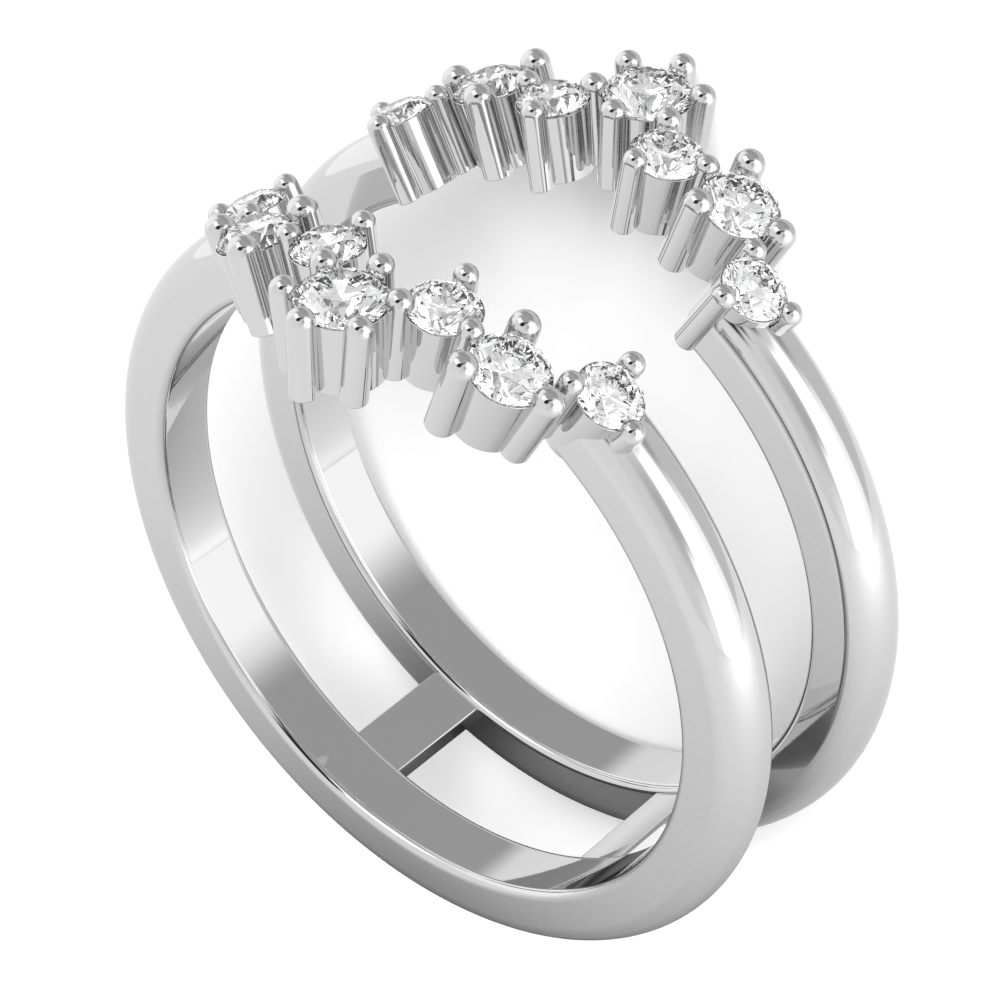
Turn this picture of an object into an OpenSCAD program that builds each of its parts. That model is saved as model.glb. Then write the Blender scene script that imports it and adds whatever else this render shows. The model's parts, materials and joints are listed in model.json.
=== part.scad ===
// Ring guard: two domed bands, each carrying a bowed row of seven round stones, with an open space
// between the rows for a second ring. It lies on its side, resting on its base and on one prong.
// Upper and lower name the two bands as it lies, and left and right are as seen from above with the
// stones at the far side. Heights are measured outward from the finger's surface.

/* [Finger hole] */
// Inside diameter of the bands
bore_d = 17.4; // [17.3:0.05:17.5]

/* [Bands] */
// Width of each band, measured along the finger
band_w = 1.92; // [1.88:0.01:1.96]
// Clear space between the two bands
band_gap = 3.24; // [3.2:0.01:3.3]
// Thickness of a band at the crest of its dome
band_t = 1.84; // [1.82:0.01:1.86]
// Radius of the rounding on the two inner edges of a band
inner_round_r = 0.25; // [0.2:0.01:0.3]
// Radius of the shoulders between the sides and the dome
shoulder_r = 0.62; // [0.6:0.01:0.64]
// Depth of the shoulders' centres below the crest
shoulder_depth = 0.777; // [0.76:0.001:0.8]

/* [Centre stones] */
// Diameter of the centre stone of each row
centre_d = 2.28; // [2.23:0.01:2.3]
// Distance of the centre stone from the middle plane
centre_aside = 5.62; // [5.6:0.01:5.65]
// Diameter of the circle through the centre stone's prongs
centre_prongs_d = 2.73; // [2.7:0.01:2.76]
// Diameter of the wire of a centre stone's prongs
centre_wire_d = 0.71; // [0.69:0.01:0.73]
// Amount by which the centre stones' girdles lie above the small and medium stones'
centre_rise = 0.06; // [0.03:0.01:0.07]

/* [Small stones] */
// Diameter of the small stones
small_d = 1.83; // [1.79:0.01:1.85]
// Distance of a small stone round the ring from the centre stone
small_along = 1.86; // [1.85:0.01:1.87]
// Distance of a small stone from the middle plane
small_aside = 4.12; // [4.1:0.01:4.14]
// Diameter of the circle through a small stone's prongs
small_prongs_d = 2.09; // [2.08:0.01:2.1]
// Diameter of the wire of a small stone's prongs
small_wire_d = 0.64; // [0.62:0.01:0.66]

/* [Medium stones] */
// Diameter of the medium stones
medium_d = 2.04; // [2:0.01:2.06]
// Distance of a medium stone round the ring from the centre stone
medium_along = 4.13; // [4.12:0.01:4.14]
// Distance of a medium stone from the middle plane
medium_aside = 4.3; // [4.28:0.01:4.32]
// Diameter of the circle through a medium stone's prongs
medium_prongs_d = 2.47; // [2.46:0.01:2.48]
// Diameter of the wire of a medium stone's prongs
medium_wire_d = 0.8; // [0.78:0.01:0.81]

/* [End stones] */
// Diameter of the end stones
end_d = 1.74; // [1.7:0.01:1.76]
// Distance of an end stone round the ring from the centre stone
end_along = 6.04; // [6.03:0.01:6.05]
// Distance of an end stone from the middle plane
end_aside = 2.715; // [2.7:0.005:2.73]
// Diameter of the circle through an end stone's prongs
end_prongs_d = 2.07; // [2.06:0.01:2.08]
// Diameter of the wire of an end stone's prongs
end_wire_d = 0.64; // [0.62:0.01:0.66]
// Amount by which the end stones' girdles lie above the small and medium stones'
end_rise = 0.03; // [0.02:0.01:0.05]
// Amount by which the end stones' prongs are shorter than the others
end_tip_drop = 0.06; // [0.04:0.01:0.08]

/* [Settings] */
// Height of the flat floors of the cups
cup_floor = 0.04; // [0.03:0.01:0.05]
// Height of the prongs' feet
prong_foot = 0.06; // [0.06:0.01:0.09]
// Height of the small and medium stones' girdles
girdle_height = 2; // [1.98:0.01:2.02]
// Height of the ball ends of the prongs, at their centres
tip_height = 2.18; // [2.17:0.01:2.2]
// Amount by which the rim of a cup stands out past the stone's girdle
cup_lip = 0.04; // [0.03:0.01:0.05]
// Diameter of the light hole under a stone, as a share of the stone's diameter
light_hole_share = 0.45; // [0.3:0.01:0.5]

/* [Stone cut] */
// Table diameter, as a share of the stone's diameter
table_share = 0.57; // [0.53:0.01:0.62]
// Crown height, as a share of the stone's diameter
crown_share = 0.155; // [0.14:0.005:0.16]
// Girdle thickness, as a share of the stone's diameter
girdle_share = 0.03; // [0.025:0.005:0.035]
// Pavilion depth, as a share of the stone's diameter
pavilion_share = 0.43; // [0.42:0.005:0.44]
// Length of the star facets, as a share of the way from the table to the girdle
star_share = 0.5; // [0.45:0.01:0.55]
// Length of the lower girdle facets, as a share of the way from the girdle to the culet
lower_share = 0.77; // [0.75:0.01:0.8]
// Clear gap between a stone and its seat
seat_gap = 0.02; // [0.01:0.005:0.03]

/* [Cross bars] */
// Width of each cross bar round the ring
bar_w = 1.63; // [1.4:0.01:1.8]
// Thickness of each cross bar
bar_t = 0.77; // [0.7:0.01:0.85]
// Height of the bars' inner faces
bar_height = 0.17; // [0.15:0.01:0.2]
// Angle round the ring between the middles of the two bars
bar_spread = 52.5; // [45:0.5:60]
// Angle by which the pair of bars sits off the point opposite the head, to the right
bar_offset = 7.3; // [0:0.1:10]
// Radius of the bars' long edges
bar_round_r = 0.1; // [0.05:0.01:0.15]

/* [Hidden] */
$fn = 48;
STONE_NAMES = [
    "upper_centre_stone", "upper_right_small_stone", "upper_right_medium_stone",
    "upper_right_end_stone", "upper_left_small_stone", "upper_left_medium_stone",
    "upper_left_end_stone", "lower_centre_stone", "lower_right_small_stone",
    "lower_right_medium_stone", "lower_right_end_stone", "lower_left_small_stone",
    "lower_left_medium_stone", "lower_left_end_stone"
];

// Radii from the finger's axis
bore_r = bore_d / 2;
crest_r = bore_r + band_t;
shoulder_centre_r = crest_r - shoulder_depth;
floor_r = bore_r + cup_floor;
foot_r = bore_r + prong_foot;
tip_r = bore_r + tip_height;

// Half widths and middle of a band, and the dome that is tangent to both shoulders
band_middle = (band_gap + band_w) / 2;
shoulder_aside = band_w / 2 - shoulder_r;
dome_r = (pow(shoulder_depth, 2) + pow(shoulder_aside, 2) - pow(shoulder_r, 2))
    / (2 * (shoulder_depth - shoulder_r));
dome_half_angle = atan2(shoulder_aside, dome_r - shoulder_depth);

// Segments in the arcs of the outlines
ROUND_STEPS = 6;
SHOULDER_STEPS = 4;
DOME_STEPS = 10;
BALL_STEPS = 6;
BAR_STEPS = 6;
BAR_ROUND_STEPS = 3;

// Depth by which the bars run into the bands, and by which a light hole's cutter passes the floor
JOIN_DEPTH = 0.15;
CUT_PAST = 0.5;

// Columns of the table of settings
ALONG = 0;
ASIDE = 1;
STONE_D = 2;
PRONGS_D = 3;
FLOOR_INSET = 4;
RISE = 5;
WIRE_D = 6;
TIP_DROP = 7;
PRONG_TURNS = 8;

// The centre, small, medium and end stones of the right half of the upper row. FLOOR_INSET is how
// much narrower the cup's floor is than the stone, and RISE how much higher its girdle lies.
// PRONG_TURNS holds the directions of the prongs round the stone, where 0 points right and 90 points
// away from the middle plane. A prong that two stones share is listed with the stone nearer the
// centre.
SETTINGS = [
    [0, centre_aside, centre_d, centre_prongs_d, 0.08, centre_rise, centre_wire_d, 0,
        [30, 90, 150, 210, 270, 330]],
    [small_along, small_aside, small_d, small_prongs_d, 0.19, 0, small_wire_d, 0,
        [-104, 13.7]],
    [medium_along, medium_aside, medium_d, medium_prongs_d, 0.12, 0, medium_wire_d, 0,
        [122.4, -118.7, 1.8]],
    [end_along, end_aside, end_d, end_prongs_d, 0.12, end_rise, end_wire_d, end_tip_drop,
        [136.8, -105.4, 15.2]]
];

UPPER = 1;
LOWER = -1;
RIGHT = 1;
LEFT = -1;

// Every stone in the order of STONE_NAMES, as its row, its hand and its line in SETTINGS
ROW = 0;
HAND = 1;
SETTING = 2;
PLACES = [
    for (row = [UPPER, LOWER])
        for (place = [[RIGHT, 0], [RIGHT, 1], [RIGHT, 2], [RIGHT, 3], [LEFT, 1], [LEFT, 2], [LEFT, 3]])
            [row, place[0], SETTINGS[place[1]]]
];

// The ring lies on the foot of the lower row's outermost prong and on the lower band's shoulder
// at the base, so it leans by the angle of the line that touches both
prong_side = centre_aside + (centre_prongs_d + centre_wire_d) / 2;
rest_run = foot_r + shoulder_centre_r;
rest_fall = prong_side - band_middle - shoulder_aside;
lean = acos(shoulder_r / norm([rest_run, rest_fall])) - atan2(rest_run, rest_fall);
rest_height = prong_side * cos(lean) - foot_r * sin(lean);
head_reach = tip_r * cos(lean) + (centre_aside + centre_prongs_d / 2) * sin(lean)
    + centre_wire_d / 2;
base_reach = (crest_r - dome_r) * cos(lean) + band_middle * sin(lean) + dome_r;

// Distance of a stone's girdle from the finger's axis
function girdle_r(setting) = bore_r + girdle_height + setting[RISE];

function polar(r, a) = r * [cos(a), sin(a)];

// Points on an arc, from one angle to another, with both ends or with neither
function arc(middle, r, from, to, steps, ends = true) =
    let (skip = ends ? 0 : 1)
    [for (i = [skip:steps - skip]) middle + polar(r, from + (to - from) * i / steps)];

// Outline of a band, as distance from the axis and distance from the band's own middle
function band_outline() =
    let (inner = bore_r + inner_round_r, side = band_w / 2 - inner_round_r)
    concat(
        arc([inner, -side], inner_round_r, 180, 270, ROUND_STEPS),
        arc([shoulder_centre_r, -shoulder_aside], shoulder_r, -90, -dome_half_angle, SHOULDER_STEPS),
        arc([crest_r - dome_r, 0], dome_r, -dome_half_angle, dome_half_angle, DOME_STEPS, false),
        arc([shoulder_centre_r, shoulder_aside], shoulder_r, dome_half_angle, 90, SHOULDER_STEPS),
        arc([inner, side], inner_round_r, 90, 180, ROUND_STEPS)
    );

// Outline of a cross bar in the plane of the bands, centred on the head's direction
function bar_outline() =
    let (
        low = bore_r + bar_height,
        high = low + bar_t,
        half = bar_w / (2 * low) * 180 / PI,
        low_r = low + bar_round_r,
        high_r = high - bar_round_r,
        low_half = half - asin(bar_round_r / low_r),
        high_half = half - asin(bar_round_r / high_r),
        n = BAR_ROUND_STEPS
    )
    concat(
        arc(polar(high_r, 90 - high_half), bar_round_r, -half, 90 - high_half, n),
        arc([0, 0], high, 90 - high_half, 90 + high_half, BAR_STEPS, false),
        arc(polar(high_r, 90 + high_half), bar_round_r, 90 + high_half, 180 + half, n),
        arc(polar(low_r, 90 + low_half), bar_round_r, 180 + half, 270 + low_half, n),
        arc([0, 0], low, 90 + low_half, 90 - low_half, BAR_STEPS, false),
        arc(polar(low_r, 90 - low_half), bar_round_r, 270 - low_half, 360 - half, n)
    );

// Outline of a prong, whose foot is at foot_r and whose ball end has its centre at tip
function prong_outline(r, tip) = concat(
    [[0, foot_r], [r, foot_r]],
    arc([0, tip], r, 0, 90, BALL_STEPS)
);

// Sizes of a cut stone of diameter d, with heights from the middle of its girdle
function table_r(d) = table_share * d / 2;
function table_z(d) = (crown_share + girdle_share / 2) * d;
function girdle_z(d) = girdle_share * d / 2;
function star_r(d) = let (edge = table_r(d) * cos(22.5)) edge + star_share * (d / 2 - edge);
function star_z(d) = girdle_z(d)
    + crown_share * d * (d / 2 - star_r(d) * cos(22.5)) / (d / 2 - table_r(d));
function lower_r(d) = (1 - lower_share) * d / 2;
function lower_z(d) = -girdle_z(d)
    - pavilion_share * d * (1 - lower_r(d) * cos(22.5) / (d / 2));
function culet_z(d) = -girdle_z(d) - pavilion_share * d;
function upper_slope(d) = (star_z(d) - girdle_z(d)) / (d / 2 - star_r(d));
function lower_slope(d) = (-girdle_z(d) - lower_z(d)) / (d / 2 - lower_r(d));

// Outline of the space that a seat leaves for a stone, with seat_gap all round
function seat_outline(d) =
    let (
        r = d / 2 + seat_gap,
        up = upper_slope(d),
        down = lower_slope(d),
        high = girdle_z(d) - up * seat_gap + seat_gap * sqrt(1 + up * up),
        low = -girdle_z(d) + down * seat_gap - seat_gap * sqrt(1 + down * down),
        top = table_z(d) + seat_gap
    )
    [[0, low - down * r], [r, low], [r, high], [r - (top - high) / up, top], [0, top]];

// A ring of n points round a stone's axis
function level(n, r, z, turn = 0) = [
    for (i = [0:n - 1])
        let (a = 360 * i / n + turn)
            [r * cos(a), r * sin(a), z]
];

FACET_TURN = 22.5;
GIRDLE_POINTS = 32;

// Edge of the girdle: it dips where a facet's plane meets the round side between its corners
function girdle_edge(d, z, slope) = [
    for (i = [0:GIRDLE_POINTS - 1])
        let (
            a = 360 * i / GIRDLE_POINTS,
            off = i % 2 == 0 ? FACET_TURN / 2 : 0,
            dip = slope / cos(FACET_TURN / 2) * d / 2 * (cos(off) - cos(FACET_TURN / 2))
        )
            [d / 2 * cos(a), d / 2 * sin(a), z - dip]
];

// Round brilliant with its table up and the middle of its girdle at the origin
module brilliant(d) {
    table = 0;
    star = 8;
    upper = 16;
    under = upper + GIRDLE_POINTS;
    lower = under + GIRDLE_POINTS;
    culet = lower + 8;
    points = concat(
        level(8, table_r(d), table_z(d)),
        level(8, star_r(d), star_z(d), FACET_TURN),
        girdle_edge(d, girdle_z(d), upper_slope(d)),
        girdle_edge(d, -girdle_z(d), -lower_slope(d)),
        level(8, lower_r(d), lower_z(d), FACET_TURN),
        [[0, 0, culet_z(d)]]
    );
    faces = concat(
        [[for (i = [7:-1:0]) table + i]],
        [for (i = [0:7]) [table + i, table + (i + 1) % 8, star + i]],
        [for (i = [0:7]) [table + i, star + i, upper + 4 * i, star + (i + 7) % 8]],
        [for (i = [0:7], s = [0, 2])
            [star + i, for (k = [2:-1:0]) upper + (4 * i + s + k) % GIRDLE_POINTS]],
        [for (i = [0:GIRDLE_POINTS - 1])
            let (next = (i + 1) % GIRDLE_POINTS)
                [upper + i, upper + next, under + next, under + i]],
        [for (i = [0:7], s = [0, 2])
            [lower + i, for (k = [0:2]) under + (4 * i + s + k) % GIRDLE_POINTS]],
        [for (i = [0:7]) [culet, lower + (i + 7) % 8, under + 4 * i, lower + i]]
    );
    polyhedron(points, faces);
}

// Angle round the finger of a distance along the line of the prongs' ball ends
function turn_of(along) = along / tip_r * 180 / PI;

// Turns a thing that points up from the origin to point outward from the finger's axis
module outward(along, aside) {
    rotate([0, 0, -turn_of(along)])
        translate([0, 0, aside])
            rotate([-90, 0, 0])
                children();
}

// Lays the ring from its own frame, with the finger's axis upright, down on its side
module laid_down() {
    translate([0, (base_reach - head_reach) / 2, rest_height])
        rotate([lean, 0, 0])
            children();
}

// Sets a thing on the axis of one stone
module at_place(place) {
    setting = place[SETTING];
    outward(place[HAND] * setting[ALONG], place[ROW] * setting[ASIDE])
        children();
}

module band(row) {
    open = turn_of(end_along);
    translate([0, 0, row * band_middle])
        rotate_extrude(start = 90 + open, angle = 360 - 2 * open)
            polygon(band_outline());
}

module cup(setting) {
    d = setting[STONE_D];
    low_r = (d - setting[FLOOR_INSET]) / 2;
    rim_r = d / 2 + cup_lip;
    translate([0, 0, floor_r])
        cylinder(h = girdle_r(setting) - girdle_z(d) - floor_r, r1 = low_r, r2 = rim_r);
}

module prong(setting) {
    rotate_extrude()
        polygon(prong_outline(setting[WIRE_D] / 2, tip_r - setting[TIP_DROP]));
}

module prongs(place) {
    setting = place[SETTING];
    for (turn = setting[PRONG_TURNS]) {
        off = polar(setting[PRONGS_D] / 2, turn);
        outward(place[HAND] * (setting[ALONG] + off[0]), place[ROW] * (setting[ASIDE] + off[1]))
            prong(setting);
    }
}

module seat(setting) {
    d = setting[STONE_D];
    translate([0, 0, girdle_r(setting)])
        rotate_extrude()
            polygon(seat_outline(d));
    translate([0, 0, floor_r - CUT_PAST])
        cylinder(h = girdle_r(setting) - floor_r, d = light_hole_share * d);
}

module cross_bar(turn) {
    half_length = band_gap / 2 + JOIN_DEPTH;
    rotate([0, 0, turn])
        translate([0, 0, -half_length])
            linear_extrude(2 * half_length)
                polygon(bar_outline());
}

// One band with its row of cups and prongs, cut out for its stones
module band_with_row(row) {
    difference() {
        union() {
            band(row);
            for (place = PLACES)
                if (place[ROW] == row) {
                    at_place(place) cup(place[SETTING]);
                    prongs(place);
                }
        }
        for (place = PLACES)
            if (place[ROW] == row)
                at_place(place) seat(place[SETTING]);
    }
}

module ring_mount() {
    color("silver")
        laid_down() {
            band_with_row(UPPER);
            band_with_row(LOWER);
            for (side = [LEFT, RIGHT])
                cross_bar(180 + bar_offset + side * bar_spread / 2);
        }
}

module stone(place) {
    setting = place[SETTING];
    color("white")
        laid_down()
            at_place(place)
                translate([0, 0, girdle_r(setting)])
                    brilliant(setting[STONE_D]);
}

ring_mount();
for (i = [0:len(PLACES) - 1])
    stone(PLACES[i]);
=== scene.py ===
import json
from collections import namedtuple
from math import asin, atan2, cos, degrees, hypot, pi, radians, sin

import bpy
import numpy as np
from mathutils import Matrix, Vector


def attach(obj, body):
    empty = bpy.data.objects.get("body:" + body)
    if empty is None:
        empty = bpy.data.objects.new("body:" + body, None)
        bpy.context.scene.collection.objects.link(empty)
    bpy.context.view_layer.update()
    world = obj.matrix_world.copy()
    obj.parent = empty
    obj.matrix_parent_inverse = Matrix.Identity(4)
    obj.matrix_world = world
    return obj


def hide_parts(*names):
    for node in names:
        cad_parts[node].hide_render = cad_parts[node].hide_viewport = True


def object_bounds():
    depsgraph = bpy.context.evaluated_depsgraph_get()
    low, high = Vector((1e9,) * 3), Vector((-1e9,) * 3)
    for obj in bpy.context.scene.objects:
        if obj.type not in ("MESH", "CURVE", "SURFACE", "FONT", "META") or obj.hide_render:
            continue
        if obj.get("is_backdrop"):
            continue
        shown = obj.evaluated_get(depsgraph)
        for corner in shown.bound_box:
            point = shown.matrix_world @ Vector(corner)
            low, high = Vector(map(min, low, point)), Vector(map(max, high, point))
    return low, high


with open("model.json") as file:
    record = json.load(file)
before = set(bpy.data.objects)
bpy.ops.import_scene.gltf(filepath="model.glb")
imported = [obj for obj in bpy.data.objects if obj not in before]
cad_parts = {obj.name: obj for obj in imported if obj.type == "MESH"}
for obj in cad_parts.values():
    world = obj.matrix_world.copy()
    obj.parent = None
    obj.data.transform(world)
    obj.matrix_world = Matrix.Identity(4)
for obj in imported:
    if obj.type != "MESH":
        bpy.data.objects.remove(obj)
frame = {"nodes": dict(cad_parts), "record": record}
cad_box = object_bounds()

# Sizes of the ring guard, in millimetres. Heights, the cups' floor and the prongs' foot are measured
# from the wall of the finger hole. The light holes are a share of the stones' diameter, and the
# spread of the bars and their offset are angles in degrees.
MM = 0.001
BORE_R = 8.7
BAND_W = 1.92
BAND_GAP = 3.24
BAND_T = 1.84
INNER_ROUND_R = 0.25
SHOULDER_R = 0.62
SHOULDER_DEPTH = 0.777
CUP_FLOOR = 0.04
PRONG_FOOT = 0.06
GIRDLE_HEIGHT = 2.0
TIP_HEIGHT = 2.18
CUP_LIP = 0.04
LIGHT_HOLE_SHARE = 0.45
BAR_W = 1.63
BAR_T = 0.77
BAR_HEIGHT = 0.17
BAR_SPREAD = 52.5
BAR_OFFSET = 7.3
BAR_ROUND_R = 0.1

# Proportions of the cut stones, as shares of the diameter, and the gap to the seat
TABLE_SHARE = 0.57
CROWN_SHARE = 0.155
GIRDLE_SHARE = 0.03
PAVILION_SHARE = 0.43
STAR_SHARE = 0.5
LOWER_SHARE = 0.77
SEAT_GAP = 0.02
FACET_TURN = radians(22.5)

# Fine roundings that only the dressed model has
FOOT_ROUND_R = 0.05
CUP_ROUND_R = 0.04
RIM_ROUND_R = 0.02

# How far a cross bar reaches into the bands, how far the cutter of a light hole reaches past its
# cup's floor, and how far under the girdle it ends
JOIN_DEPTH = 0.15
CUT_PAST = 0.5
HOLE_END = 0.5

# Each setting: distance round the ring and aside, the stone's diameter, the diameter of the circle
# through its prongs, how much narrower the cup's floor is than the stone, how much higher its girdle
# lies, the prongs' wire, how much lower their tips are, and their directions round the stone in
# degrees
Setting = namedtuple("Setting", "along aside stone_d prongs_d inset rise wire_d drop turns")
SETTINGS = {
    "centre": Setting(0, 5.62, 2.28, 2.73, 0.08, 0.06, 0.71, 0, (30, 90, 150, 210, 270, 330)),
    "small": Setting(1.86, 4.12, 1.83, 2.09, 0.19, 0, 0.64, 0, (-104, 13.7)),
    "medium": Setting(4.13, 4.3, 2.04, 2.47, 0.12, 0, 0.8, 0, (122.4, -118.7, 1.8)),
    "end": Setting(6.04, 2.715, 1.74, 2.07, 0.12, 0.03, 0.64, 0.06, (136.8, -105.4, 15.2)),
}
ROWS = {"upper": 1, "lower": -1}
HANDS = {"right": 1, "left": -1}

# Segments of the turned and swept shapes, and of the round runs in their outlines
BAND_STEPS = 200
CUP_STEPS = 72
PRONG_STEPS = 36
BAR_STEPS = 12
EDGE_STEPS = 10
DOME_STEPS = 16
BALL_STEPS = 10
BAR_EDGE_STEPS = 4
FINE_STEPS = 3

# Points and turns closer than this count as the same, and no length is divided by less. The second
# value is the same in digits.
TINY = 1e-6
TINY_DIGITS = 6

CREST_R = BORE_R + BAND_T
FLOOR_R = BORE_R + CUP_FLOOR
FOOT_R = BORE_R + PRONG_FOOT
TIP_R = BORE_R + TIP_HEIGHT
BAND_MIDDLE = (BAND_GAP + BAND_W) / 2


def head_frame():
    """The ring's own frame, with the finger's axis along Z and the head toward +Y, as it lies."""
    mounts = frame["record"]["mounts"]
    bore = next(m for m in mounts if m["name"] == "finger_bore")
    axis = Vector(bore["axis"])
    lean = atan2(-axis.y, axis.z)
    place = Matrix.Translation(Vector(bore["pos_m"]))
    return place @ Matrix.Rotation(lean, 4, "X") @ Matrix.Scale(MM, 4)


def turn_of(along):
    """Angle round the finger of a distance along the line of the prongs' ball ends."""
    return along / TIP_R


def outward(along, aside):
    """Turns a thing that points up from the origin to point outward from the finger's axis."""
    turn = Matrix.Rotation(-turn_of(along), 4, "Z")
    return turn @ Matrix.Translation((0, 0, aside)) @ Matrix.Rotation(-pi / 2, 4, "X")


# Outlines: each is a list of smooth runs, and each run a list of points with their normals.
# A point is (distance from the axis, height, normal's two parts).

def arc(middle, r, start, end, steps):
    """A round run, turning outward, with angles in degrees."""
    run = []
    for i in range(steps + 1):
        a = radians(start + (end - start) * i / steps)
        run.append((middle[0] + r * cos(a), middle[1] + r * sin(a), cos(a), sin(a)))
    return run


def straight(start, end):
    """A straight run whose normal lies to its right."""
    along = Vector(end) - Vector(start)
    along.normalize()
    return [(*start, along.y, -along.x), (*end, along.y, -along.x)]


def joined(points):
    """Straight runs through the points."""
    return [straight(a, b) for a, b in zip(points, points[1:])]


def chained(runs):
    """The runs with a straight one wherever two of them leave a gap."""
    out = []
    for run, after in zip(runs, runs[1:] + runs[:1]):
        out.append(run)
        here, there = run[-1][:2], after[0][:2]
        if hypot(there[0] - here[0], there[1] - here[1]) > TINY:
            out.append(straight(here, there))
    return out


def band_outline():
    """Outline of a band, as distance from the axis and distance from the band's own middle."""
    aside = BAND_W / 2 - SHOULDER_R
    centre_r = CREST_R - SHOULDER_DEPTH
    dome_r = (SHOULDER_DEPTH**2 + aside**2 - SHOULDER_R**2) / (2 * (SHOULDER_DEPTH - SHOULDER_R))
    half = degrees(atan2(aside, dome_r - SHOULDER_DEPTH))
    inner = BORE_R + INNER_ROUND_R
    side = BAND_W / 2 - INNER_ROUND_R
    return chained([
        arc((inner, -side), INNER_ROUND_R, 180, 270, EDGE_STEPS),
        arc((centre_r, -aside), SHOULDER_R, -90, -half, EDGE_STEPS),
        arc((CREST_R - dome_r, 0), dome_r, -half, half, DOME_STEPS),
        arc((centre_r, aside), SHOULDER_R, half, 90, EDGE_STEPS),
        arc((inner, side), INNER_ROUND_R, 90, 180, EDGE_STEPS),
    ])


def bar_outline():
    """Outline of a cross bar in the plane of the bands, centred on +X."""
    low = BORE_R + BAR_HEIGHT
    high = low + BAR_T
    half = degrees(BAR_W / 2 / low)
    low_r = low + BAR_ROUND_R
    high_r = high - BAR_ROUND_R
    low_half = half - degrees(asin(BAR_ROUND_R / low_r))
    high_half = half - degrees(asin(BAR_ROUND_R / high_r))

    def at(r, a):
        return r * cos(radians(a)), r * sin(radians(a))

    inner = [(x, y, -nx, -ny) for x, y, nx, ny in arc((0, 0), low, low_half, -low_half, BAR_STEPS)]
    return chained([
        arc(at(high_r, -high_half), BAR_ROUND_R, -90 - half, -high_half, BAR_EDGE_STEPS),
        arc((0, 0), high, -high_half, high_half, BAR_STEPS),
        arc(at(high_r, high_half), BAR_ROUND_R, high_half, 90 + half, BAR_EDGE_STEPS),
        arc(at(low_r, low_half), BAR_ROUND_R, 90 + half, 180 + low_half, BAR_EDGE_STEPS),
        inner,
        arc(at(low_r, -low_half), BAR_ROUND_R, 180 - low_half, 270 - half, BAR_EDGE_STEPS),
    ])


def prong_outline(setting):
    """Outline of a prong from its foot to its ball end."""
    r = setting.wire_d / 2
    tip = TIP_R - setting.drop
    corner = (r - FOOT_ROUND_R, FOOT_R + FOOT_ROUND_R)
    return [
        straight((0, FOOT_R), (corner[0], FOOT_R)),
        arc(corner, FOOT_ROUND_R, -90, 0, FINE_STEPS),
        straight((r, corner[1]), (r, tip)),
        arc((0, tip), r, 0, 90, BALL_STEPS),
    ]


def girdle_r(setting):
    """Distance of a stone's girdle from the finger's axis."""
    return BORE_R + GIRDLE_HEIGHT + setting.rise


def cup_outline(setting):
    """Outline of a cup before it is cut out for its stone."""
    low_r = (setting.stone_d - setting.inset) / 2
    rim_r = setting.stone_d / 2 + CUP_LIP
    rim = girdle_r(setting) - GIRDLE_SHARE * setting.stone_d / 2
    slope = degrees(atan2(rim_r - low_r, rim - FLOOR_R))
    foot = arc((low_r - CUP_ROUND_R, FLOOR_R + CUP_ROUND_R), CUP_ROUND_R, -90, -slope, FINE_STEPS)
    edge = arc((rim_r - RIM_ROUND_R, rim - RIM_ROUND_R), RIM_ROUND_R, -slope, 90, FINE_STEPS)
    return [
        straight((0, FLOOR_R), foot[0][:2]),
        foot,
        straight(foot[-1][:2], edge[0][:2]),
        edge,
        straight(edge[-1][:2], (0, rim)),
    ]


def seat_outline(setting):
    """Outline of the space that a seat leaves for a stone, with its gap all round."""
    d = setting.stone_d
    girdle = GIRDLE_SHARE * d / 2
    edge = TABLE_SHARE * d / 2 * cos(FACET_TURN)
    star_r = edge + STAR_SHARE * (d / 2 - edge)
    table_run = d / 2 * (1 - TABLE_SHARE)
    star_rise = CROWN_SHARE * d * (d / 2 - star_r * cos(FACET_TURN)) / table_run
    up = star_rise / (d / 2 - star_r)
    lower_r = (1 - LOWER_SHARE) * d / 2
    lower_drop = PAVILION_SHARE * d * (1 - lower_r * cos(FACET_TURN) / (d / 2))
    down = lower_drop / (d / 2 - lower_r)
    r = d / 2 + SEAT_GAP
    high = girdle - up * SEAT_GAP + SEAT_GAP * hypot(1, up)
    low = -girdle + down * SEAT_GAP - SEAT_GAP * hypot(1, down)
    top = CROWN_SHARE * d + girdle + SEAT_GAP
    points = [(0, low - down * r), (r, low), (r, high), (r - (top - high) / up, top), (0, top)]
    return joined([(x, girdle_r(setting) + y) for x, y in points])


def hole_outline(setting):
    """Outline of the cutter of a stone's light hole."""
    r = LIGHT_HOLE_SHARE * setting.stone_d / 2
    low = FLOOR_R - CUT_PAST
    high = girdle_r(setting) - HOLE_END
    return joined([(0, low), (r, low), (r, high), (0, high)])


# Meshes: each face keeps its surface's true normals in an attribute, which booleans carry along

def face_grid(points, normals):
    """Faces of a grid of points, as corners and their normals."""
    def corners(grid):
        quads = (grid[:-1, :-1], grid[1:, :-1], grid[1:, 1:], grid[:-1, 1:])
        return np.stack(quads, axis=2).reshape(-1, 4, 3)
    return list(zip(corners(points), corners(normals)))


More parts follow.
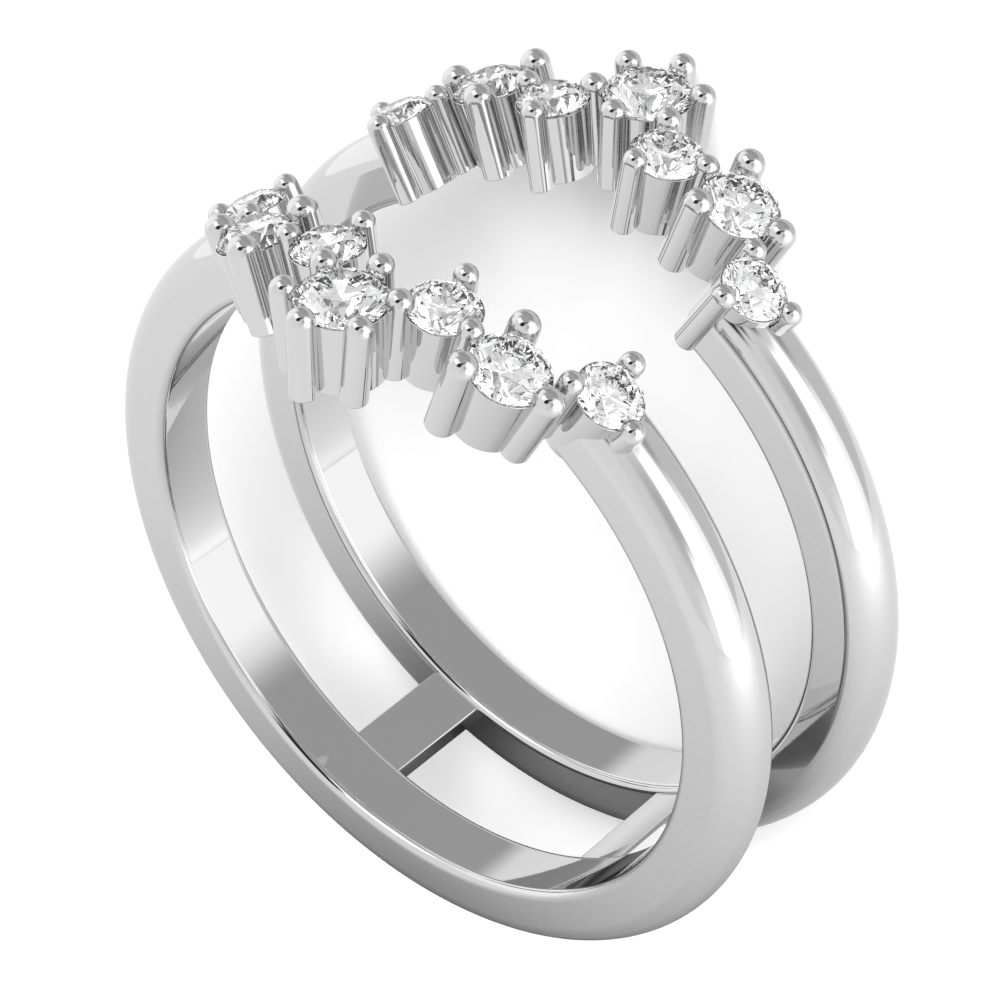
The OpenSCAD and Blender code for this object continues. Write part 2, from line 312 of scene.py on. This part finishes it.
def solid(name, faces, place, inward=False):
    """A closed mesh from faces given as corners and normals. A cutter's normals point inward."""
    sign = -1.0 if inward else 1.0
    corners = np.concatenate([f[0] for f in faces])
    normals = np.concatenate([f[1] for f in faces])
    keys, index = np.unique(np.round(corners, TINY_DIGITS), axis=0, return_inverse=True)
    index = index.reshape(-1)
    loops, kept = [], []
    start = 0
    for face in faces:
        size = len(face[0])
        ring = range(start, start + size)
        ring = [k for n, k in enumerate(ring) if index[k] != index[ring[n - 1]]]
        if len(ring) > 2:
            loops.append([int(index[k]) for k in ring])
            kept.extend(ring)
        start += size
    mesh = bpy.data.meshes.new(name)
    mesh.from_pydata([place @ Vector(k) for k in keys.tolist()], [], loops)
    turn = np.array(place.to_3x3().normalized())
    true = mesh.attributes.new("true_normal", "FLOAT_VECTOR", "CORNER")
    true.data.foreach_set("vector", (sign * normals[kept] @ turn.T).ravel())
    return bpy.data.objects.new(name, mesh)


def turned(name, outline, steps, place, start=0.0, sweep=2 * pi, inward=False):
    """A solid turned about the axis from its outline, closed with flat ends if it isn't full."""
    angles = start + sweep * np.arange(steps + 1) / steps
    whole = sweep > 2 * pi - TINY
    if whole:
        angles[-1] = angles[0]
    c, s = np.cos(angles), np.sin(angles)
    faces = []
    for run in outline:
        r, z, nr, nz = np.array(run, float).T
        points = np.stack([np.outer(r, c), np.outer(r, s), np.outer(z, np.ones_like(c))], axis=2)
        normals = np.stack([np.outer(nr, c), np.outer(nr, s), np.outer(nz, np.ones_like(c))], axis=2)
        faces += face_grid(points[::-1], normals[::-1])
    if not whole:
        flat = np.array([p[:2] for run in outline for p in run[:-1]], float)
        for end, order in ((0, 1), (-1, -1)):
            ring = [(r * c[end], r * s[end], z) for r, z in flat[::order]]
            normal = (s[end] * order, -c[end] * order, 0.0)
            faces.append((np.array(ring), np.array([normal] * len(ring))))
    return solid(name, faces, place, inward)


def extruded(name, outline, half_length, place):
    """A straight solid with the outline across it."""
    z = np.array([half_length, -half_length])
    faces = []
    for run in outline:
        x, y, nx, ny = np.array(run, float).T
        one = np.ones(2)
        points = np.stack([np.outer(x, one), np.outer(y, one), np.outer(np.ones_like(x), z)], axis=2)
        normals = np.stack([np.outer(nx, one), np.outer(ny, one), np.zeros((len(x), 2))], axis=2)
        faces += face_grid(points[::-1], normals[::-1])
    flat = [p[:2] for run in outline for p in run[:-1]]
    for end, order in ((half_length, 1), (-half_length, -1)):
        ring = [(px, py, end) for px, py in flat[::order]]
        faces.append((np.array(ring), np.array([(0.0, 0.0, float(order))] * len(ring))))
    return solid(name, faces, place)


def boolean(target, tools, operation):
    """The target with all the tools added to it or cut from it, as a new mesh."""
    group = bpy.data.collections.new("tools")
    for tool in tools:
        group.objects.link(tool)
    bpy.context.scene.collection.children.link(group)
    if target.name not in bpy.context.scene.collection.objects:
        bpy.context.scene.collection.objects.link(target)
    cut = target.modifiers.new("boolean", "BOOLEAN")
    cut.operation = operation
    cut.solver = "MANIFOLD"
    cut.operand_type = "COLLECTION"
    cut.collection = group
    depsgraph = bpy.context.evaluated_depsgraph_get()
    target.data = bpy.data.meshes.new_from_object(target.evaluated_get(depsgraph))
    target.modifiers.clear()
    for tool in tools:
        bpy.data.objects.remove(tool)
    bpy.data.collections.remove(group)


def band(row, head):
    """One domed band, from the end stone on one side round the base to the other."""
    gap = turn_of(SETTINGS["end"].along)
    place = head @ Matrix.Translation((0, 0, row * BAND_MIDDLE))
    start, sweep = pi / 2 + gap, 2 * (pi - gap)
    return turned("band", band_outline(), BAND_STEPS, place, start, sweep)


def places():
    """Every setting of every row, as its row, its hand and its sizes."""
    for row in ROWS.values():
        for kind, setting in SETTINGS.items():
            for hand in (1,) if kind == "centre" else HANDS.values():
                yield row, hand, setting


def settings_metal(head):
    """The cups and the ball-topped prongs."""
    for row, hand, setting in places():
        place = head @ outward(hand * setting.along, row * setting.aside)
        yield turned("cup", cup_outline(setting), CUP_STEPS, place)
        for turn in setting.turns:
            u = setting.along + setting.prongs_d / 2 * cos(radians(turn))
            v = setting.aside + setting.prongs_d / 2 * sin(radians(turn))
            place = head @ outward(hand * u, row * v)
            yield turned("prong", prong_outline(setting), PRONG_STEPS, place)


def seats(head):
    """The cutters of the seats and of the light holes."""
    for row, hand, setting in places():
        place = head @ outward(hand * setting.along, row * setting.aside)
        yield turned("seat", seat_outline(setting), CUP_STEPS, place, inward=True)
        yield turned("hole", hole_outline(setting), CUP_STEPS, place, inward=True)


def cross_bars(head):
    """The two short bars that join the bands at the base."""
    for side in HANDS.values():
        turn = radians(270 + BAR_OFFSET + side * BAR_SPREAD / 2)
        place = head @ Matrix.Rotation(turn, 4, "Z")
        yield extruded("bar", bar_outline(), BAND_GAP / 2 + JOIN_DEPTH, place)


def ring_metal(head):
    """All the metal as one closed mesh with its true normals."""
    first, *others = [band(row, head) for row in ROWS.values()]
    boolean(first, others + list(settings_metal(head)), "UNION")
    boolean(first, list(seats(head)), "DIFFERENCE")
    boolean(first, list(cross_bars(head)), "UNION")
    first.name = "ring_metal"
    mesh = first.data
    mesh.name = "ring_metal"
    true = np.zeros(len(mesh.loops) * 3, np.float32)
    mesh.attributes["true_normal"].data.foreach_get("vector", true)
    true = true.reshape(-1, 3)
    true /= np.maximum(np.linalg.norm(true, axis=1, keepdims=True), TINY)
    mesh.shade_smooth()
    mesh.normals_split_custom_set(true.tolist())
    return first


# Materials: a faint cloudy pattern, sized in repeats to the metre, moves the colour and the roughness
# of each finish between two ends. The buffing marks' depth is in metres.
METAL_COLOURS = ((0.655, 0.655, 0.66), (0.675, 0.675, 0.675))
METAL_ROUGHNESS = (0.015, 0.04)
METAL_CLOUD = 260
BUFFING_MARKS = 9000
BUFFING_STRENGTH = 0.02
BUFFING_DEPTH = 0.00001
STONE_COLOURS = ((0.97, 0.975, 0.985), (1.0, 1.0, 1.0))
STONE_ROUGHNESS = (0.0, 0.004)
STONE_CLOUD = 900
STONE_IOR = 2.42
PAPER_COLOURS = ((0.79, 0.79, 0.79), (0.81, 0.81, 0.81))
PAPER_ROUGHNESS = 0.6
PAPER_CLOUD = 400

# How much the white paper shines by itself, which keeps its shadows pale
PAPER_GLOW = 0.16

# How fine-grained the pattern is, and which of its values give the two ends of the roughness
NOISE_DETAIL = 3.0
NOISE_LOW = 0.3
NOISE_HIGH = 0.7


def new_material(name):
    """A node material, its tree and its Principled shader."""
    material = bpy.data.materials.new(name)
    material.use_nodes = True
    tree = material.node_tree
    shader = next(n for n in tree.nodes if n.type == "BSDF_PRINCIPLED")
    return material, tree, shader


def noise(tree, scale):
    """A noise pattern fixed to the piece, with its size in repeats to the metre."""
    place = tree.nodes.new("ShaderNodeTexCoord")
    pattern = tree.nodes.new("ShaderNodeTexNoise")
    pattern.inputs["Scale"].default_value = scale
    pattern.inputs["Detail"].default_value = NOISE_DETAIL
    tree.links.new(place.outputs["Object"], pattern.inputs["Vector"])
    return pattern.outputs["Fac"]


def spread(tree, source, ends):
    """The pattern's values spread from one end to the other."""
    scale = tree.nodes.new("ShaderNodeMapRange")
    scale.inputs["From Min"].default_value = NOISE_LOW
    scale.inputs["From Max"].default_value = NOISE_HIGH
    scale.inputs["To Min"].default_value = ends[0]
    scale.inputs["To Max"].default_value = ends[1]
    tree.links.new(source, scale.inputs["Value"])
    return scale.outputs["Result"]


def shaded(tree, source, colours):
    """A colour between two, by the pattern's values."""
    mix = tree.nodes.new("ShaderNodeMix")
    mix.data_type = "RGBA"
    mix.inputs["A"].default_value = (*colours[0], 1.0)
    mix.inputs["B"].default_value = (*colours[1], 1.0)
    tree.links.new(source, mix.inputs["Factor"])
    return mix.outputs["Result"]


def polished_metal():
    """Rhodium-white metal with a mirror polish and the faintest buffing marks."""
    material, tree, shader = new_material("polished_white_metal")
    shader.inputs["Metallic"].default_value = 1.0
    cloud = noise(tree, METAL_CLOUD)
    tree.links.new(shaded(tree, cloud, METAL_COLOURS), shader.inputs["Base Color"])
    tree.links.new(spread(tree, cloud, METAL_ROUGHNESS), shader.inputs["Roughness"])
    bump = tree.nodes.new("ShaderNodeBump")
    bump.inputs["Strength"].default_value = BUFFING_STRENGTH
    bump.inputs["Distance"].default_value = BUFFING_DEPTH
    tree.links.new(noise(tree, BUFFING_MARKS), bump.inputs["Height"])
    tree.links.new(bump.outputs["Normal"], shader.inputs["Normal"])
    return material


def cut_stone():
    """Colourless cut stone."""
    material, tree, shader = new_material("clear_cut_stone")
    shader.inputs["Transmission Weight"].default_value = 1.0
    shader.inputs["IOR"].default_value = STONE_IOR
    cloud = noise(tree, STONE_CLOUD)
    tree.links.new(shaded(tree, cloud, STONE_COLOURS), shader.inputs["Base Color"])
    tree.links.new(spread(tree, cloud, STONE_ROUGHNESS), shader.inputs["Roughness"])
    return material


def paper():
    """Plain white paper, which isn't there when seen from below."""
    material, tree, shader = new_material("white_paper")
    shader.inputs["Roughness"].default_value = PAPER_ROUGHNESS
    shader.inputs["Emission Strength"].default_value = PAPER_GLOW
    cloud = noise(tree, PAPER_CLOUD)
    tree.links.new(shaded(tree, cloud, PAPER_COLOURS), shader.inputs["Base Color"])
    side = tree.nodes.new("ShaderNodeNewGeometry")
    clear = tree.nodes.new("ShaderNodeBsdfTransparent")
    choose = tree.nodes.new("ShaderNodeMixShader")
    output = next(n for n in tree.nodes if n.type == "OUTPUT_MATERIAL")
    tree.links.new(side.outputs["Backfacing"], choose.inputs["Fac"])
    tree.links.new(shader.outputs["BSDF"], choose.inputs[1])
    tree.links.new(clear.outputs["BSDF"], choose.inputs[2])
    tree.links.new(choose.outputs["Shader"], output.inputs["Surface"])
    return material


# The studio round the ring: panels laid over one another in a pale room. Angles are in degrees, and
# an edge is how softly a panel ends. Azimuth 0 is up along the finger, 90 is to the right, and
# elevation 90 is the way the head points.
AMBIENT = 0.98
Panel = namedtuple("Panel", "azimuth half_width side_edge elevation half_height end_edge brightness")
PANELS = {
    "grey over the head": Panel(0, 180, 0, 90, 34, 10, 0.5),
    "pale grey down the finger": Panel(178, 50, 8, 15, 28, 12, 0.74),
    "white on the left": Panel(-88, 30, 8, 12, 32, 10, 1.25),
    "grey high down the finger": Panel(180, 55, 8, 50, 15, 6, 0.45),
    "grey at the lower left": Panel(-138, 16, 5, 36, 15, 5, 0.45),
    "pale at the upper right": Panel(40, 14, 6, 12, 30, 10, 0.9),
    "white at the lower right": Panel(118, 13, 4, 8, 20, 8, 1.35),
    "shade beside the stripe": Panel(64, 13, 9, 28, 16, 14, 0.6),
    "glow under that shade": Panel(66, 14, 8, -4, 6, 9, 1.2),
    "stripe on the domes": Panel(98, 20, 3, 15, 33, 3, 1.8),
    "foot of the stripe": Panel(91, 24, 3, 4, 14, 6, 1.8),
    "highlight on the balls": Panel(-28, 42, 3, 59, 11, 2, 1.9),
    "black beside the highlight": Panel(14, 18, 4, 48, 13, 3, 0.03),
    "black to the right of it": Panel(32, 13, 5, 52, 8, 3, 0.03),
    "black strip past those": Panel(54, 30, 6, 58, 4, 3, 0.05),
}
HALF_TURN = 180
TO_DEGREES = degrees(1)

# How bright the studio is for the light inside the stones: the least, and how much brighter than
# for the metal. The floor gets less of it than the metal, and the lamp gives it the rest.
STONE_LEAST = 0.6
STONE_GAIN = 1.3
FLOOR_SHARE = 0.48


def fill(tree, socket, value):
    """Sets a socket to a number, or links it to what another node gives."""
    if isinstance(value, (int, float)):
        socket.default_value = value
    else:
        tree.links.new(value, socket)


def math_node(tree, operation, *values):
    """A maths node with its inputs set or linked."""
    node = tree.nodes.new("ShaderNodeMath")
    node.operation = operation
    for socket, value in zip(node.inputs, values):
        fill(tree, socket, value)
    return node.outputs[0]


def mixed(tree, share, one, other):
    """One value where the share is 0 and the other where it is 1."""
    mix = tree.nodes.new("ShaderNodeMix")
    fill(tree, mix.inputs["Factor"], share)
    fill(tree, mix.inputs["A"], one)
    fill(tree, mix.inputs["B"], other)
    return mix.outputs["Result"]


def soft_step(tree, value, limit, edge):
    """1 where the value is under the limit and 0 past it, with a soft edge."""
    step = tree.nodes.new("ShaderNodeMapRange")
    step.interpolation_type = "SMOOTHSTEP"
    step.inputs["From Min"].default_value = limit - edge
    step.inputs["From Max"].default_value = limit + edge
    step.inputs["To Min"].default_value = 1.0
    step.inputs["To Max"].default_value = 0.0
    tree.links.new(value, step.inputs["Value"])
    return step.outputs["Result"]


def studio_angles(tree, lean):
    """Azimuth and elevation of each direction, in degrees, in the ring's own frame."""
    place = tree.nodes.new("ShaderNodeTexCoord")
    turn = tree.nodes.new("ShaderNodeVectorRotate")
    turn.rotation_type = "X_AXIS"
    turn.inputs["Angle"].default_value = -lean
    tree.links.new(place.outputs["Generated"], turn.inputs["Vector"])
    parts = tree.nodes.new("ShaderNodeSeparateXYZ")
    tree.links.new(turn.outputs["Vector"], parts.inputs["Vector"])
    x, y, z = parts.outputs
    azimuth = math_node(tree, "MULTIPLY", math_node(tree, "ARCTAN2", x, z), TO_DEGREES)
    elevation = math_node(tree, "MULTIPLY", math_node(tree, "ARCSINE", y), TO_DEGREES)
    return azimuth, elevation


def panel_mask(tree, panel, azimuth, elevation):
    """1 in the directions that a panel covers and 0 elsewhere, with its soft edges."""
    rise = math_node(tree, "ABSOLUTE", math_node(tree, "SUBTRACT", elevation, panel.elevation))
    high = soft_step(tree, rise, panel.half_height, panel.end_edge)
    if panel.half_width == HALF_TURN:
        return high
    turn = math_node(tree, "SUBTRACT", azimuth, panel.azimuth)
    off = math_node(tree, "ABSOLUTE", math_node(tree, "WRAP", turn, HALF_TURN, -HALF_TURN))
    wide = soft_step(tree, off, panel.half_width, panel.side_edge)
    return math_node(tree, "MULTIPLY", high, wide)


def studio(lean):
    """A pale room with soft panels, seen in the metal and the stones."""
    world = bpy.data.worlds.new("studio")
    bpy.context.scene.world = world
    world.use_nodes = True
    tree = world.node_tree
    azimuth, elevation = studio_angles(tree, lean)
    light = AMBIENT
    for panel in PANELS.values():
        light = mixed(tree, panel_mask(tree, panel, azimuth, elevation), light, panel.brightness)
    at_least = math_node(tree, "MAXIMUM", light, STONE_LEAST)
    for_stones = math_node(tree, "MULTIPLY", at_least, STONE_GAIN)
    for_floor = math_node(tree, "MULTIPLY", light, FLOOR_SHARE)
    path = tree.nodes.new("ShaderNodeLightPath")
    light = mixed(tree, path.outputs["Is Transmission Ray"], light, for_stones)
    light = mixed(tree, path.outputs["Is Diffuse Ray"], light, for_floor)
    background = next(n for n in tree.nodes if n.type == "BACKGROUND")
    tree.links.new(light, background.inputs["Color"])


def flat_piece(name, corners, material):
    """A flat piece of the stage with four corners."""
    mesh = bpy.data.meshes.new(name)
    mesh.from_pydata(corners, [], [(0, 1, 2, 3)])
    mesh.materials.append(material)
    piece = bpy.data.objects.new(name, mesh)
    bpy.context.scene.collection.objects.link(piece)
    return piece


# The floor's width, and how far it lies under the ring so that they don't meet, in metres
FLOOR_SIZE = 1.2
FLOOR_DROP = 0.00002


def lay_floor():
    """A plain white floor under the ring, which the metal and the stones don't mirror."""
    half = FLOOR_SIZE / 2
    corners = [(-half, -half, -FLOOR_DROP), (half, -half, -FLOOR_DROP)]
    corners += [(half, half, -FLOOR_DROP), (-half, half, -FLOOR_DROP)]
    floor = flat_piece("floor", corners, paper())
    floor.visible_glossy = False
    floor.visible_transmission = False
    floor.visible_shadow = False
    floor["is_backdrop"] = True


# A glowing card just past the ring's base, as if the ring stood on it, which shows only where it is
# mirrored. Shade is painted into its glow where the ring lies within the reach, and the power deepens
# that painted shade. Its size, its distance and the reach are in millimetres.
CARD_SIZE = 200
CARD_DROP = 0.03
CARD_BRIGHT = 1.02
CARD_SHADE_REACH = 30
CARD_SHADE_POWER = 2
CARD_SHADE_SAMPLES = 32

# The pool of light painted into the card's glow: where, how far across and its soft edge in metres, and
# how bright
POOL_AT = (0.082, -0.009, -0.0085)
POOL_R = 0.036
POOL_EDGE = 0.032
POOL_GAIN = 0.75


def card_brightness(tree):
    """The card's own brightness with its pool of light, before any shade."""
    place = tree.nodes.new("ShaderNodeTexCoord")
    away = tree.nodes.new("ShaderNodeVectorMath")
    away.operation = "DISTANCE"
    away.inputs[1].default_value = POOL_AT
    tree.links.new(place.outputs["Object"], away.inputs[0])
    # Painted pool of light: the card's glow is brighter round this point
    pool = soft_step(tree, away.outputs["Value"], POOL_R, POOL_EDGE)
    return math_node(tree, "MULTIPLY_ADD", pool, POOL_GAIN, CARD_BRIGHT)


def glow_with_painted_shade():
    """A glowing card, with shade painted into its glow where the ring is close."""
    material = bpy.data.materials.new("card")
    material.use_nodes = True
    material.cycles.emission_sampling = "NONE"
    tree = material.node_tree
    tree.nodes.clear()
    shade = tree.nodes.new("ShaderNodeAmbientOcclusion")
    shade.samples = CARD_SHADE_SAMPLES
    shade.inputs["Distance"].default_value = CARD_SHADE_REACH * MM
    # Painted shade: the card's glow is darker where the ring is close
    painted_shade = math_node(tree, "POWER", shade.outputs["AO"], CARD_SHADE_POWER)
    glow = tree.nodes.new("ShaderNodeEmission")
    tree.links.new(math_node(tree, "MULTIPLY", painted_shade, card_brightness(tree)), glow.inputs["Color"])
    output = tree.nodes.new("ShaderNodeOutputMaterial")
    tree.links.new(glow.outputs["Emission"], output.inputs["Surface"])
    return material


def lay_card(head):
    """The mirrored card, square to the way the head points."""
    half = CARD_SIZE / 2
    y = -CREST_R - CARD_DROP
    corners = [(-half, y, half), (half, y, half), (half, y, -half), (-half, y, -half)]
    card = flat_piece("card", [head @ Vector(corner) for corner in corners], glow_with_painted_shade())
    card.visible_camera = False
    card.visible_diffuse = False
    card.visible_transmission = False
    card.visible_shadow = False
    card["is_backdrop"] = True


# A broad lamp on the camera's side, so that most of the ring's shadow falls behind the ring. It
# lights the floor alone. Its place and width are in metres and its power in watts.
LAMP_AT = (0.27, 0.345, 0.32)
LAMP_SIZE = 0.45
LAMP_POWER = 7.5


def hang_lamp():
    """The lamp, turned toward the ring, which nothing mirrors."""
    light = bpy.data.lights.new("lamp", "AREA")
    light.size = LAMP_SIZE
    light.energy = LAMP_POWER
    lamp = bpy.data.objects.new("lamp", light)
    lamp.location = LAMP_AT
    lamp.rotation_euler = (-Vector(LAMP_AT)).to_track_quat("-Z", "Y").to_euler()
    lamp.visible_glossy = False
    lamp.visible_transmission = False
    bpy.context.scene.collection.objects.link(lamp)


# The camera in the ring's own frame, in millimetres, its lens and sensor in millimetres, and how
# near it sees, in metres
CAMERA_AT = (45.094, 59.510, 53.221)
CAMERA_RIGHT = (0.76002, 0.00612, -0.64986)
CAMERA_FORWARD = (-0.49557, -0.64147, -0.58560)
CAMERA_LENS = 127.87
CAMERA_SENSOR = 36
CAMERA_NEAR = 0.005


def set_camera(head):
    """The camera at the photograph's viewing angle to the ring."""
    data = bpy.data.cameras.new("camera")
    data.lens = CAMERA_LENS
    data.sensor_width = CAMERA_SENSOR
    data.clip_start = CAMERA_NEAR
    camera = bpy.data.objects.new("camera", data)
    back = -Vector(CAMERA_FORWARD).normalized()
    up = back.cross(Vector(CAMERA_RIGHT)).normalized()
    turn = Matrix((up.cross(back), up, back)).transposed()
    turn = head.to_3x3().normalized() @ turn
    camera.matrix_world = Matrix.Translation(head @ Vector(CAMERA_AT)) @ turn.to_4x4()
    bpy.context.scene.collection.objects.link(camera)
    bpy.context.scene.camera = camera


# How often light may bounce in all and inside the stones, and between mirrors
STONE_BOUNCES = 24
MIRROR_BOUNCES = 12


def set_looks():
    """Plain colours, and enough bounces for light to find its way through the stones."""
    scene = bpy.context.scene
    scene.view_settings.view_transform = "Standard"
    scene.cycles.max_bounces = STONE_BOUNCES
    scene.cycles.transmission_bounces = STONE_BOUNCES
    scene.cycles.glossy_bounces = MIRROR_BOUNCES
    scene.cycles.caustics_reflective = False
    scene.cycles.caustics_refractive = False


head = head_frame()
metal = ring_metal(head)
metal.data.materials.clear()
metal.data.materials.append(polished_metal())
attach(metal, "root")
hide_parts("ring_mount")

stone_material = cut_stone()
for name, node in frame["nodes"].items():
    if name.endswith("stone"):
        node.data.materials.clear()
        node.data.materials.append(stone_material)

bore_axis = head.to_3x3().normalized() @ Vector((0, 0, 1))
studio(atan2(-bore_axis.y, bore_axis.z))
lay_floor()
lay_card(head)
hang_lamp()
set_camera(head)
set_looks()

boxes = {"cad": cad_box, "visual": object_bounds()}
{key: [list(corner) for corner in box] for key, box in boxes.items()}
